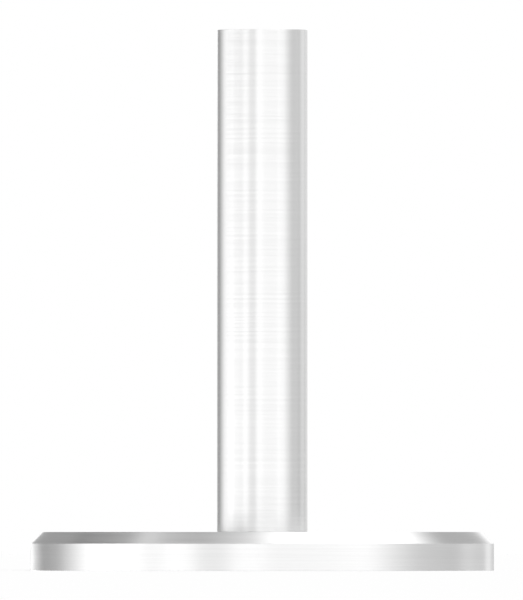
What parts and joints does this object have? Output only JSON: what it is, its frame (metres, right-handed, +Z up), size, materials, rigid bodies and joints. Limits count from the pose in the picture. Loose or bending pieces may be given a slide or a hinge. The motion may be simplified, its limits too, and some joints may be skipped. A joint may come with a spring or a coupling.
{
  "type": "handrail support",
  "caption": "Stainless handrail support: a plain round post screwed upright to a chamfered round base disc with countersunk fixing holes, tapped at its free end.",
  "frame": {"origin": "centre of the base disc's underside", "axes": "+Z up the post's axis, away from the base disc; one fixing hole lies on +Y"},
  "size_m": [0.072, 0.072, 0.084],
  "materials": {
    "stainless_steel": "fine turned grain that runs round the axis, satin",
    "screw_steel": "plain bright stainless"
  },
  "bodies": {
    "root": {"base_disc": "stainless_steel", "post": "stainless_steel", "post_screw": "screw_steel"}
  },
  "joints": []
}
